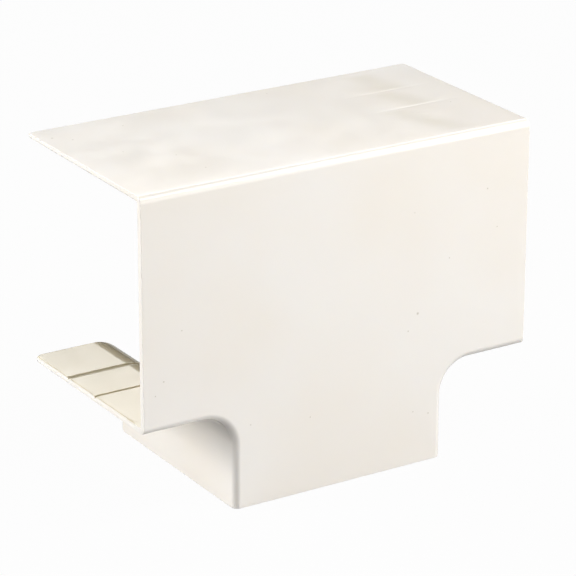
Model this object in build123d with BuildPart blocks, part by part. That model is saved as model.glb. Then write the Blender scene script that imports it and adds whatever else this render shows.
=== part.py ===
from build123d import *
from math import atan2, degrees, tan, radians
import os

# Cover tee for square wiring trunking: one moulded piece that caps a three-way junction.
# Frame: X along the straight run, Z up, and the wall that the trunking is screwed to is the plane y = 0.
# The origin is where the centre lines of run and branch cross on that wall. The branch points down.
# All sizes are in millimetres.

run_length = 120.0
run_height = 65.0
depth = 61.0
branch_width = 66.0
branch_drop = 27.5

front_wall = 1.7
side_wall = 1.7
rim_wall = 1.35

tee_radius = 9.0
edge_radius = 2.0

run_rim_radius = 2.3
top_rim_radius = 1.0
branch_rim_radius = 1.0

lead_in_radius = 0.8

# Score lines inside the side walls, one front wall deeper than 25 mm and 40 mm trunking. The skirt is
# cut away along one of them where the trunking is shallower than the cover.
score_distances = (26.7, 41.7)
score_width = 1.0
score_depth = 0.6

half_run = run_length / 2
run_top = run_height / 2
run_bottom = -run_height / 2
half_branch = branch_width / 2
branch_end = run_bottom - branch_drop
core_length = depth - front_wall
core_draft = degrees(atan2(side_wall - rim_wall, core_length))
overrun = 5.0


def wall_at(distance):
    """Thickness of a side wall at a distance back from the front face; the draft thins it to the rim."""
    return rim_wall + (depth - distance) * tan(radians(core_draft))


def tee_outline(inset=0.0, past_mouths=0.0):
    """Front view of the tee, drawn inside the walls by inset and carried past the three mouths."""
    end_x = half_run + past_mouths
    top = run_top - inset
    bottom = run_bottom + inset
    side_x = half_branch - inset
    end_z = branch_end - past_mouths
    with BuildLine() as outline:
        Polyline(
            (-end_x, top),
            (end_x, top),
            (end_x, bottom),
            (side_x, bottom),
            (side_x, end_z),
            (-side_x, end_z),
            (-side_x, bottom),
            (-end_x, bottom),
            close=True,
        )
    make_face(outline.edges())
    re_entrant = vertices().group_by(Axis.Y)[1].sort_by(Axis.X)[1:3]
    fillet(re_entrant, tee_radius + inset)


def front_edges(part):
    """Edges of the front face that follow the walls, without the three that close the mouths."""
    edges = part.faces().sort_by(Axis.Y)[0].edges()
    left, right, down = edges.sort_by(Axis.X)[0], edges.sort_by(Axis.X)[-1], edges.sort_by(Axis.Z)[0]
    return [edge for edge in edges if edge not in (left, right, down)]


# The hollow: the same tee, thinner by the walls, widening towards the rim so that it leaves its mould,
# and running out through the three mouths. Its front edges are sharp.
with BuildPart() as hollow:
    with BuildSketch(Plane.XZ):
        tee_outline(rim_wall, overrun)
    extrude(amount=core_length, taper=core_draft)

# The score lines: flat double wedges whose edges bite a V into every side wall and follow the walls
# round the tee fillets.
with BuildPart() as score_wedges:
    for distance in score_distances:
        with BuildSketch(Plane.XZ.offset(depth - distance)):
            tee_outline(wall_at(distance) - score_depth, overrun)
        extrude(amount=score_width, both=True, taper=degrees(atan2(score_depth, score_width / 2)))

with BuildPart() as tee_cover:
    with BuildSketch(Plane.XZ):
        tee_outline()
    extrude(amount=depth)
    fillet(front_edges(tee_cover.part), edge_radius)
    add(hollow.part, mode=Mode.SUBTRACT)

    # Free corners of the rim: large on the two arms below the run, small on the top wall and the branch.
    rim_edges = edges().filter_by_position(Axis.Y, -0.01, 0.01)
    arm_corners = rim_edges.filter_by(Axis.Z).group_by(lambda edge: abs(edge.center().X))[-1]
    branch_corners = rim_edges.filter_by(Axis.X).group_by(Axis.Z)[0]
    fillet(arm_corners.group_by(Axis.Z)[0], run_rim_radius)
    fillet(arm_corners.group_by(Axis.Z)[-1], top_rim_radius)
    fillet(branch_corners, branch_rim_radius)

    # Rounded lead-in on the inner edge of each of the three walls: it runs along the rim, round the free
    # corners and down the mouths, and ends at the front wall.
    left_rim, right_rim, top_rim = faces().filter_by(Axis.Y).group_by(Axis.Y)[-1].sort_by(Axis.Z)
    top_lead_in = top_rim.edges().filter_by(Axis.X).sort_by(Axis.Z)[0]
    arm_lead_ins = [rim.edges().filter_by(Axis.X).sort_by(Axis.Z)[-1] for rim in (left_rim, right_rim)]
    fillet([top_lead_in] + arm_lead_ins, lead_in_radius)

    add(score_wedges.part, mode=Mode.SUBTRACT)

    # The left half is the mirror image of the right one.
    split(bisect_by=Plane.YZ, keep=Keep.TOP)
    mirror(about=Plane.YZ)

tee_cover.part.label = "tee_cover"

os.makedirs("parts", exist_ok=True)
export_step(tee_cover.part, "parts/tee_cover.step")
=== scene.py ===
from math import hypot, radians

import bmesh
import bpy
from mathutils import Matrix, Vector


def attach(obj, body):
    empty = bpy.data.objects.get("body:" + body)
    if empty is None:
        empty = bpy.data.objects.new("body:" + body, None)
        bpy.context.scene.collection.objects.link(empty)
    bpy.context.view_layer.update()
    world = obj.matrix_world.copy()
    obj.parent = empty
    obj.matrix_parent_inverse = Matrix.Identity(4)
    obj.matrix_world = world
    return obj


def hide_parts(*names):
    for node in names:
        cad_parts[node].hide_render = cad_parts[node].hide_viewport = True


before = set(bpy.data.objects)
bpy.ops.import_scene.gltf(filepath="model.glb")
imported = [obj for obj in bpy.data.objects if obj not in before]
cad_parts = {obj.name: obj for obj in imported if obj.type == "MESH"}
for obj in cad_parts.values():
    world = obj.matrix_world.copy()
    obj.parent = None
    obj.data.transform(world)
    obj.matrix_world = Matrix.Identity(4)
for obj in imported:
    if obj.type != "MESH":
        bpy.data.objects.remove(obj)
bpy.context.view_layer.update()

MM = 0.001

# Camera, at the place the photo was taken from

CAMERA_PLACE = Vector((-0.41337, -0.69691, 0.29012))
CAMERA_AIM = Vector((0.00373, -0.02850, -0.01515))
CAMERA_ROLL = radians(0.115)
LENS_MM = 193.24
SENSOR_MM = 36.0


def place_camera():
    data = bpy.data.cameras.new("photo_camera")
    data.sensor_width = SENSOR_MM
    data.lens = LENS_MM
    data.clip_start = 0.01
    data.clip_end = 50.0
    camera = bpy.data.objects.new("photo_camera", data)
    bpy.context.scene.collection.objects.link(camera)
    look = (CAMERA_AIM - CAMERA_PLACE).to_track_quat("-Z", "Y").to_matrix().to_4x4()
    roll = Matrix.Rotation(CAMERA_ROLL, 4, "Z")
    camera.matrix_world = Matrix.Translation(CAMERA_PLACE) @ look @ roll
    bpy.context.scene.camera = camera


place_camera()

# Sizes of the cover in millimetres, as in the part's source

RUN_LENGTH = 120.0
RUN_HEIGHT = 65.0
DEPTH = 61.0
BRANCH_WIDTH = 66.0
BRANCH_DROP = 27.5

FRONT_WALL = 1.7
SIDE_WALL = 1.7
RIM_WALL = 1.35

TEE_RADIUS = 9.0
EDGE_RADIUS = 2.0

ARM_RIM_RADIUS = 2.3
TOP_RIM_RADIUS = 1.0
BRANCH_RIM_RADIUS = 1.0

LEAD_IN = 0.8

SCORE_DISTANCES = (26.7, 41.7)
SCORE_WIDTH = 1.0
SCORE_DEPTH = 0.6

# Finer forms that only show here. The inner fold is as sharp as a milled mould core gives it, and the outer
# edges of the rims and mouths are broken a little.
INNER_FOLD_RADIUS = 0.15
EDGE_BREAK = 0.2

# The top wall sinks a little opposite each score line, above the right arm.
SINK_HALF_WIDTH = 1.1
SINK_DEPTH = 0.035
SINK_PLACE = 41.0
SINK_REACH = 16.0

# On the two arms the mouth's lead-in widens over its last few millimetres and ends short of the front.
RUN_OUT = 6.0
RUN_OUT_END = 0.35
WIDENING = 5.0
WIDENED_LEAD_IN = 1.7

# Facets of each round form, and slices of each slow change
TURN_STEPS = 24
ROUND_STEPS = 12
CORNER_STEPS = 10
LEAD_STEPS = 8
BREAK_STEPS = 2
SINK_STEPS = 6
WIDENING_STEPS = 4

HALF_RUN = RUN_LENGTH / 2
HALF_BRANCH = BRANCH_WIDTH / 2
RUN_TOP = RUN_HEIGHT / 2
RUN_BOTTOM = -RUN_HEIGHT / 2
BRANCH_END = RUN_BOTTOM - BRANCH_DROP
FRONT_INSIDE = FRONT_WALL - DEPTH
RUN_OUT_PLACE = RUN_OUT - DEPTH

# Distance under which two places are the same, and what the draft may move the start of the lead-in by
NEAR = 0.001
DRAFT_SLACK = 0.1

# An edge that turns by more than the first angle is a corner, and one by more than the second is a crease.
CORNER_TURN = radians(60)
CREASE_TURN = radians(32)

# A face looks some way when its normal has more than this share along it.
FACING = 0.5

OUTER_SIDE = 0
INNER_SIDE = 1


def wall_at(distance):
    """Thickness of a side wall at a distance back from the front face, in millimetres."""
    return RIM_WALL + (DEPTH - distance) / (DEPTH - FRONT_WALL) * (SIDE_WALL - RIM_WALL)


def into_wall(co):
    """How far a point lies inside the outer outline, in millimetres, and the way back out."""
    x, z = co.x / MM, co.z / MM
    side = 1.0 if x > 0 else -1.0
    turn_x, turn_z = HALF_BRANCH + TEE_RADIUS, RUN_BOTTOM - TEE_RADIUS
    if z > 0:
        return RUN_TOP - z, Vector((0, 0, 1))
    if abs(x) >= turn_x:
        return z - RUN_BOTTOM, Vector((0, 0, -1))
    if z <= turn_z:
        return HALF_BRANCH - abs(x), Vector((side, 0, 0))
    away_x, away_z = turn_x - abs(x), turn_z - z
    reach = hypot(away_x, away_z)
    return reach - TEE_RADIUS, Vector((side * away_x, 0, away_z)) / reach


def at_run_end(co):
    return abs(abs(co.x) - HALF_RUN * MM) < NEAR * MM


def at_branch_end(co):
    return abs(co.z - BRANCH_END * MM) < NEAR * MM


def lies_in_mouth(edge):
    """True for the three edges of a tee-shaped plate that close the mouths."""
    ends = [v.co for v in edge.verts]
    return all(map(at_branch_end, ends)) or (all(map(at_run_end, ends)) and ends[0].x * ends[1].x > 0)


def round_off(bm, chosen, radius, steps, affect):
    """Rounds the chosen corners or edges to a radius in millimetres."""
    bmesh.ops.bevel(bm, geom=chosen, offset=radius * MM, offset_type="OFFSET",
                    segments=steps, profile=0.5, affect=affect, material=-1)


def tee_skin(bm, inset, front, fold_radius, flare):
    """One side of the shell as an open sheet, a tee-shaped plate with its three walls. Returns its rim."""
    older_edges = set(bm.edges)
    top, bottom, side = RUN_TOP - inset, RUN_BOTTOM + inset, HALF_BRANCH - inset
    outline = [(-HALF_RUN, top), (-HALF_RUN, bottom), (-side, bottom), (-side, BRANCH_END)]
    outline += [(-x, z) for x, z in reversed(outline)]
    corners = [bm.verts.new((x * MM, front * MM, z * MM)) for x, z in outline]
    bm.faces.new(corners)
    tee_corners = [corners[2], corners[5]]
    round_off(bm, tee_corners, TEE_RADIUS + inset, TURN_STEPS, "VERTICES")
    plate_edges = [e for e in bm.edges if e not in older_edges]
    folds = [e for e in plate_edges if not lies_in_mouth(e)]
    walls = bmesh.ops.extrude_edge_only(bm, edges=folds)["geom"]
    rim = [v for v in walls if isinstance(v, bmesh.types.BMVert)]
    bmesh.ops.translate(bm, vec=(0, -front * MM, 0), verts=rim)
    for v in rim:
        v.co += into_wall(v.co)[1] * flare * MM
    arm_corners = [v for v in rim if at_run_end(v.co) and v.co.z < 0]
    top_corners = [v for v in rim if at_run_end(v.co) and v.co.z > 0]
    branch_corners = [v for v in rim if at_branch_end(v.co)]
    round_off(bm, arm_corners, ARM_RIM_RADIUS, CORNER_STEPS, "VERTICES")
    round_off(bm, top_corners, TOP_RIM_RADIUS, CORNER_STEPS, "VERTICES")
    round_off(bm, branch_corners, BRANCH_RIM_RADIUS, CORNER_STEPS, "VERTICES")
    folds = [e for e in bm.edges if e not in older_edges and not e.is_boundary
             and all(abs(v.co.y - front * MM) < NEAR * MM for v in e.verts)]
    round_off(bm, folds, fold_radius, ROUND_STEPS, "EDGES")
    return [e for e in bm.edges if e.is_boundary and e not in older_edges]


def slice_shell(bm, point, normal):
    """New edges all round the shell, where a plane cuts it."""
    everything = bm.verts[:] + bm.edges[:] + bm.faces[:]
    bmesh.ops.bisect_plane(bm, geom=everything, dist=NEAR * MM / 10, plane_co=point, plane_no=normal)


def slice_across(bm, y):
    """Slices the walls at one distance from the wall behind the cover. Returns the points there."""
    slice_shell(bm, (0, y * MM, 0), (0, 1, 0))
    return [v for v in bm.verts if abs(v.co.y - y * MM) < NEAR * MM]


def round_the_lead_in(bm):
    """The rounded inner edge of the three walls, along the rim and down the mouths."""
    for y in (RUN_OUT_PLACE, RUN_OUT_PLACE - RUN_OUT_END):
        slice_across(bm, y)
    lead_in = []
    for edge in bm.edges:
        if edge.calc_face_angle(0) < CORNER_TURN:
            continue
        if any(into_wall(v.co)[0] < RIM_WALL - NEAR for v in edge.verts):
            continue
        foremost = min(v.co.y for v in edge.verts) / MM
        on_arm = all(at_run_end(v.co) and v.co.z < 0 for v in edge.verts)
        if foremost > (RUN_OUT_PLACE if on_arm else FRONT_INSIDE + INNER_FOLD_RADIUS) - NEAR:
            lead_in.append(edge)
    round_off(bm, lead_in, LEAD_IN, LEAD_STEPS, "EDGES")


def widen_the_run_out(bm):
    """The lead-in of the two arms grows wider over its last few millimetres."""
    for step in range(WIDENING_STEPS, 0, -1):
        slice_across(bm, RUN_OUT_PLACE + WIDENING * step / WIDENING_STEPS)
    for v in bm.verts:
        from_mouth = HALF_RUN - abs(v.co.x) / MM
        along = (v.co.y / MM - RUN_OUT_PLACE) / WIDENING
        in_lead_in = from_mouth < LEAD_IN + NEAR and into_wall(v.co)[0] > SIDE_WALL - LEAD_IN - DRAFT_SLACK
        if v.co.z < 0 and in_lead_in and -NEAR < along < 1:
            wider = 1 + (WIDENED_LEAD_IN / LEAD_IN - 1) * (1 - along)
            v.co.x = (HALF_RUN - from_mouth * wider) * MM * (1 if v.co.x > 0 else -1)


def sink_at(co):
    """Depth of the sink mark in the top wall, deepest above the right arm and gone at both its ends."""
    along = (co.x / MM - SINK_PLACE) / SINK_REACH
    return SINK_DEPTH * max(0.0, 1 - along ** 2) if co.z > 0 else 0.0


def cut_the_score_lines(bm):
    """A V-shaped groove inside all walls at each score distance, and the faint sink marks outside it."""
    for step in range(-SINK_STEPS, SINK_STEPS + 1):
        x = SINK_PLACE + SINK_REACH * step / SINK_STEPS
        slice_shell(bm, (x * MM, 0, 0), (1, 0, 0))
    for distance in SCORE_DISTANCES:
        y = distance - DEPTH
        for offset in (SINK_HALF_WIDTH, SCORE_WIDTH / 2):
            slice_across(bm, y - offset)
            slice_across(bm, y + offset)
        groove = wall_at(distance) - SCORE_DEPTH
        for v in slice_across(bm, y):
            inside, outward = into_wall(v.co)
            if inside > groove:
                v.co += outward * (inside - groove) * MM
            elif inside < NEAR:
                v.co -= outward * sink_at(v.co) * MM


def lies_inside(face):
    """True for the faces that look into the channel, the score lines and half the lead-in among them."""
    centre = face.calc_center_median()
    inside, outward = into_wall(centre)
    if centre.y < (FRONT_INSIDE + INNER_FOLD_RADIUS) * MM:
        return face.normal.y > FACING and inside > RIM_WALL
    from_edge = min(HALF_RUN * MM - abs(centre.x), -centre.y, centre.z - BRANCH_END * MM)
    return face.normal.dot(outward) < -FACING and from_edge > LEAD_IN / 2 * MM


def moulded_shell():
    """The cover as one closed mesh: an inner and an outer skin, joined all round their rims."""
    bm = bmesh.new()
    inner_rim = tee_skin(bm, SIDE_WALL, FRONT_INSIDE, INNER_FOLD_RADIUS, SIDE_WALL - RIM_WALL)
    outer_rim = tee_skin(bm, 0.0, -DEPTH, EDGE_RADIUS, 0.0)
    bmesh.ops.bridge_loops(bm, edges=inner_rim + outer_rim)
    bmesh.ops.recalc_face_normals(bm, faces=bm.faces[:])
    round_off(bm, outer_rim, EDGE_BREAK, BREAK_STEPS, "EDGES")
    round_the_lead_in(bm)
    widen_the_run_out(bm)
    cut_the_score_lines(bm)
    for face in bm.faces:
        face.smooth = True
        # Faces that look into the channel take the copy of the cream with painted shade.
        face.material_index = INNER_SIDE if lies_inside(face) else OUTER_SIDE
    for edge in bm.edges:
        edge.smooth = len(edge.link_faces) == 2 and edge.calc_face_angle(0) < CREASE_TURN
    mesh = bpy.data.meshes.new("tee_cover_moulding")
    bm.to_mesh(mesh)
    bm.free()
    shell = bpy.data.objects.new("tee_cover_moulding", mesh)
    bpy.context.scene.collection.objects.link(shell)
    flatten = shell.modifiers.new("flat_walls_stay_flat", "WEIGHTED_NORMAL")
    flatten.keep_sharp = True
    return shell


# Materials

def linear(code):
    """An sRGB hex colour as linear light."""
    channels = [int(code[i:i + 2], 16) / 255 for i in (1, 3, 5)]
    return [c / 12.92 if c <= 0.04045 else ((c + 0.055) / 1.055) ** 2.4 for c in channels] + [1.0]


def add_node(tree, kind, inputs=None, **settings):
    """A node with its settings, and each input set to a value or linked to another node's output."""
    node = tree.nodes.new(kind)
    for name, value in settings.items():
        setattr(node, name, value)
    for name, value in (inputs or {}).items():
        if isinstance(value, bpy.types.NodeSocket):
            tree.links.new(value, node.inputs[name])
        else:
            node.inputs[name].default_value = value
    return node


def combined(tree, operation, values):
    """One value out of several, by a sum or a minimum taken one after the other."""
    result = values[0]
    for value in values[1:]:
        result = add_node(tree, "ShaderNodeMath", {0: result, 1: value}, operation=operation).outputs[0]
    return result


# The inner side gets darker, warmer copies of the cream: painted shade, standing in for the light that
# reaches it only through the wall and off other walls.
CREAM = "#F1EDE7"
WARM_CREAM = "#F0EAE1"
INNER_SHADE_CREAM = "#E0D7C0"
INNER_SHADE_WARM_CREAM = "#DDD3BA"
SPECK_BROWN = "#A39A80"
# Grey of the dark reflection painted on the top wall.
PAINTED_REFLECTION_GREY = "#DDD7C8"

# Sizes of the patterns in millimetres: slow clouds of pigment, patches of duller gloss, waves from uneven
# shrinkage and the skin's grain. The real grain is finer than 0.1 mm, and is drawn coarser so that it shows.
CLOUD_SIZE = 45.0
DULL_PATCH_SIZE = 9.0
WAVE_SIZE = 16.0
WAVE_HEIGHT = 0.012
GRAIN_SIZE = 0.7
GRAIN_HEIGHT = 0.0006

# Part of each noise over which the look changes from one end to the other
CLOUD_SPAN = (0.35, 0.65)
DULL_PATCH_SPAN = (0.3, 0.7)

GLOSSY_ROUGHNESS = 0.09
DULLER_ROUGHNESS = 0.15

# Dark specks of burnt polymer in the moulding, as (x, z, radius) on the front and (x, y, radius) on the top.
FRONT_SPECKS = (
    (24.5, -16, 0.5), (21.5, -20.5, 0.3), (46.5, 15.5, 0.3), (50, 4, 0.25), (34.5, -2, 0.25), (23, 13, 0.2),
    (-48.5, -5.5, 0.25), (-54, -18.5, 0.3), (-56.5, -22, 0.25), (28.5, -46, 0.3), (23.5, -44.5, 0.25),
    (-28, -36.5, 0.25), (-9.5, -38.5, 0.25),
)
TOP_SPECKS = (
    (-56.5, -7.5, 0.45), (-52.5, -11.5, 0.35), (-35.5, -8, 0.3), (-35.5, -36.5, 0.3), (-34, -49, 0.3),
    (-46, -27, 0.25), (12, -4, 0.25), (51, -36.5, 0.25),
)
SPECK_SHARE = 0.5
SPECK_CORE = 0.3

# Painted dark reflection on the top, a soft grey band given as (x, y) at the rear and the front end of its
# middle line. It jumps at each sink mark.
PAINTED_REFLECTION_LINES = (((42.0, -2.9), (44.2, -20.0)), ((38.6, -20.0), (44.4, -34.5)), ((31.9, -34.5), (40.8, -57.8)))
PAINTED_REFLECTION_HALF_WIDTH = 7.0
PAINTED_REFLECTION_SHARE = 0.35
PAINTED_REFLECTION_FADE = 2.0
PAINTED_REFLECTION_THICKNESS = 1.0


def pigment(tree, place, cream, warm_cream):
    """Cream pigment that clouds a little and slowly, as flow in the mould leaves it."""
    clouds = add_node(tree, "ShaderNodeTexNoise",
                      {"Vector": place, "Scale": 1 / (CLOUD_SIZE * MM), "Detail": 2.0})
    share = add_node(tree, "ShaderNodeMapRange",
                     {"Value": clouds.outputs["Fac"], "From Min": CLOUD_SPAN[0], "From Max": CLOUD_SPAN[1]})
    mixed = add_node(tree, "ShaderNodeMix",
                     {0: share.outputs[0], 6: linear(cream), 7: linear(warm_cream)}, data_type="RGBA")
    return mixed.outputs[2]


def painted_reflection_stretch(tree, x, y, rear, front):
    """Share of the painted dark reflection along one straight stretch of its middle line, soft at both sides
    and both ends.
    """
    middle = add_node(tree, "ShaderNodeMapRange",
                      {"Value": y, "From Min": rear[1] * MM, "From Max": front[1] * MM,
                       "To Min": rear[0] * MM, "To Max": front[0] * MM}, clamp=False)
    offset = add_node(tree, "ShaderNodeMath", {0: x, 1: middle.outputs[0]}, operation="SUBTRACT")
    aside = add_node(tree, "ShaderNodeMath", {0: offset.outputs[0]}, operation="ABSOLUTE")
    across = add_node(tree, "ShaderNodeMapRange",
                      {"Value": aside.outputs[0], "From Max": PAINTED_REFLECTION_HALF_WIDTH * MM,
                       "To Min": PAINTED_REFLECTION_SHARE, "To Max": 0.0}, interpolation_type="SMOOTHSTEP")
    behind_front = add_node(tree, "ShaderNodeMapRange",
                            {"Value": y, "From Min": front[1] * MM, "From Max": (front[1] + PAINTED_REFLECTION_FADE) * MM})
    before_rear = add_node(tree, "ShaderNodeMapRange",
                           {"Value": y, "From Min": rear[1] * MM, "From Max": (rear[1] - PAINTED_REFLECTION_FADE) * MM})
    along = add_node(tree, "ShaderNodeMath", {0: behind_front.outputs[0], 1: before_rear.outputs[0]},
                     operation="MULTIPLY")
    stretch = add_node(tree, "ShaderNodeMath", {0: across.outputs[0], 1: along.outputs[0]},
                       operation="MULTIPLY")
    return stretch.outputs[0]


def with_painted_reflection(tree, place, colour):
    """The colour with a soft grey band painted on the top wall as a dark reflection."""
    x, y, z = add_node(tree, "ShaderNodeSeparateXYZ", {0: place}).outputs
    reflection_share = combined(tree, "ADD", [painted_reflection_stretch(tree, x, y, rear, front) for rear, front in PAINTED_REFLECTION_LINES])
    on_top = add_node(tree, "ShaderNodeMath", {0: z, 1: (RUN_TOP - PAINTED_REFLECTION_THICKNESS) * MM},
                      operation="GREATER_THAN")
    band = add_node(tree, "ShaderNodeMath", {0: reflection_share, 1: on_top.outputs[0]}, operation="MULTIPLY")
    mixed = add_node(tree, "ShaderNodeMix",
                     {0: band.outputs[0], 6: colour, 7: linear(PAINTED_REFLECTION_GREY)}, data_type="RGBA")
    return mixed.outputs[2]


def speckled(tree, place, colour):
    """The colour with each dark speck in it, strongest in its core and gone at its radius."""
    specks = [(x, -DEPTH, z, radius) for x, z, radius in FRONT_SPECKS]
    specks += [(x, y, RUN_TOP, radius) for x, y, radius in TOP_SPECKS]
    reaches = []
    for x, y, z, radius in specks:
        away = add_node(tree, "ShaderNodeVectorMath", {0: place, 1: (x * MM, y * MM, z * MM)},
                        operation="DISTANCE")
        reach = add_node(tree, "ShaderNodeMath", {0: away.outputs["Value"], 1: radius * MM},
                         operation="DIVIDE")
        reaches.append(reach.outputs[0])
    nearest = combined(tree, "MINIMUM", reaches)
    share = add_node(tree, "ShaderNodeMapRange",
                     {"Value": nearest, "From Min": 1.0, "From Max": SPECK_CORE, "To Max": SPECK_SHARE})
    mixed = add_node(tree, "ShaderNodeMix",
                     {0: share.outputs[0], 6: colour, 7: linear(SPECK_BROWN)}, data_type="RGBA")
    return mixed.outputs[2]


def moulded_cream_upvc(name, cream, warm_cream):
    """Injection-moulded uPVC. The polished mould gives it a clear gloss with a slow waviness, and the pigment
    leaves it a touch translucent, so that thin edges and inner corners look warm."""
    material = bpy.data.materials.new(name)
    material.use_nodes = True
    tree = material.node_tree
    shader = tree.nodes["Principled BSDF"]
    place = add_node(tree, "ShaderNodeTexCoord").outputs["Object"]
    colour = speckled(tree, place, with_painted_reflection(tree, place, pigment(tree, place, cream, warm_cream)))
    tree.links.new(colour, shader.inputs["Base Color"])

    patches = add_node(tree, "ShaderNodeTexNoise",
                       {"Vector": place, "Scale": 1 / (DULL_PATCH_SIZE * MM), "Detail": 3.0})
    gloss = add_node(tree, "ShaderNodeMapRange",
                     {"Value": patches.outputs["Fac"],
                      "From Min": DULL_PATCH_SPAN[0], "From Max": DULL_PATCH_SPAN[1],
                      "To Min": GLOSSY_ROUGHNESS, "To Max": DULLER_ROUGHNESS})
    tree.links.new(gloss.outputs[0], shader.inputs["Roughness"])

    waves = add_node(tree, "ShaderNodeTexNoise",
                     {"Vector": place, "Scale": 1 / (WAVE_SIZE * MM), "Detail": 1.0})
    grain = add_node(tree, "ShaderNodeTexNoise",
                     {"Vector": place, "Scale": 1 / (GRAIN_SIZE * MM), "Detail": 2.0})
    wavy = add_node(tree, "ShaderNodeBump",
                    {"Height": waves.outputs["Fac"], "Strength": 1.0, "Distance": WAVE_HEIGHT * MM})
    skin = add_node(tree, "ShaderNodeBump",
                    {"Height": grain.outputs["Fac"], "Strength": 1.0, "Distance": GRAIN_HEIGHT * MM,
                     "Normal": wavy.outputs[0]})
    tree.links.new(skin.outputs[0], shader.inputs["Normal"])

    shader.inputs["IOR"].default_value = 1.53
    shader.inputs["Subsurface Weight"].default_value = 0.08
    shader.inputs["Subsurface Radius"].default_value = (1.0, 0.85, 0.55)
    shader.inputs["Subsurface Scale"].default_value = 1.2 * MM
    return material


cover = moulded_shell()
for side_name, cream, warm_cream in (
    ("moulded_cream_upvc", CREAM, WARM_CREAM),
    # The inner side's copy carries painted shade.
    ("moulded_cream_upvc_inner_painted_shade", INNER_SHADE_CREAM, INNER_SHADE_WARM_CREAM),
):
    cover.data.materials.append(moulded_cream_upvc(side_name, cream, warm_cream))
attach(cover, "root")
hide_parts("tee_cover")

# Floor, background and light. The floor is grey paper, and only the camera sees it and the world as white.

FLOOR_REACH = 3.0
FLOOR_GREY = "#A0A0A0"
FLOOR_WHITENESS = 0.97
WORLD_STRENGTH = 0.02


def stage_floor():
    bm = bmesh.new()
    bmesh.ops.create_grid(bm, x_segments=1, y_segments=1, size=FLOOR_REACH)
    bmesh.ops.translate(bm, vec=(0, 0, BRANCH_END * MM), verts=bm.verts[:])
    mesh = bpy.data.meshes.new("floor")
    bm.to_mesh(mesh)
    bm.free()
    floor = bpy.data.objects.new("floor", mesh)
    bpy.context.scene.collection.objects.link(floor)
    material = bpy.data.materials.new("matt_paper")
    material.use_nodes = True
    tree = material.node_tree
    shader = tree.nodes["Principled BSDF"]
    shader.inputs["Base Color"].default_value = linear(FLOOR_GREY)
    shader.inputs["Roughness"].default_value = 0.9
    path = add_node(tree, "ShaderNodeLightPath")
    share = add_node(tree, "ShaderNodeMath", {0: path.outputs["Is Camera Ray"], 1: FLOOR_WHITENESS},
                     operation="MULTIPLY")
    white = add_node(tree, "ShaderNodeEmission")
    mix = add_node(tree, "ShaderNodeMixShader",
                   {0: share.outputs[0], 1: shader.outputs[0], 2: white.outputs[0]})
    tree.links.new(mix.outputs[0], tree.nodes["Material Output"].inputs["Surface"])
    floor.data.materials.append(material)


def world_light():
    world = bpy.data.worlds.new("studio")
    bpy.context.scene.world = world
    world.use_nodes = True
    tree = world.node_tree
    around = tree.nodes["Background"]
    around.inputs["Color"].default_value = (1, 1, 1, 1)
    around.inputs["Strength"].default_value = WORLD_STRENGTH
    white = add_node(tree, "ShaderNodeBackground", {"Color": (1, 1, 1, 1)})
    path = add_node(tree, "ShaderNodeLightPath")
    mix = add_node(tree, "ShaderNodeMixShader",
                   {0: path.outputs["Is Camera Ray"], 1: around.outputs[0], 2: white.outputs[0]})
    tree.links.new(mix.outputs[0], tree.nodes["World Output"].inputs["Surface"])


# Each softbox by azimuth and height in degrees, distance in metres, width and height in metres, and watts.
# The one at the back right stands far off, so that from the photo's place only the arm's inside mirrors it.
SOFTBOXES = {
    "above_right": (126, 52, 0.9, 0.4, 0.4, 3.0),
    "front_right": (129, 15, 0.9, 0.6, 0.6, 5.0),
    "front": (171, 17, 0.9, 0.6, 0.6, 1.75),
    "above_front": (180, 60, 0.9, 0.6, 0.6, 2.9),
    "back_left": (-58, 18, 0.9, 0.42, 0.36, 9.3),
    "back_right": (31, 30.3, 6.0, 3.6, 2.0, 73.0),
}


def softbox(name, azimuth, height, distance, wide, tall, watts):
    """A softbox facing the cover. Azimuth 0 is behind it and 90 to its right."""
    data = bpy.data.lights.new(name, "AREA")
    data.shape = "RECTANGLE"
    data.size, data.size_y = wide, tall
    data.energy = watts
    light = bpy.data.objects.new(name, data)
    bpy.context.scene.collection.objects.link(light)
    turn = Matrix.Rotation(radians(-azimuth), 4, "Z") @ Matrix.Rotation(radians(height), 4, "X")
    away = Matrix.Translation((0, distance, 0)) @ Matrix.Rotation(radians(-90), 4, "X")
    light.matrix_world = Matrix.Translation(CAMERA_AIM) @ turn @ away


stage_floor()
world_light()
for name, setting in SOFTBOXES.items():
    softbox(name, *setting)

bpy.context.scene.view_settings.view_transform = "Standard"
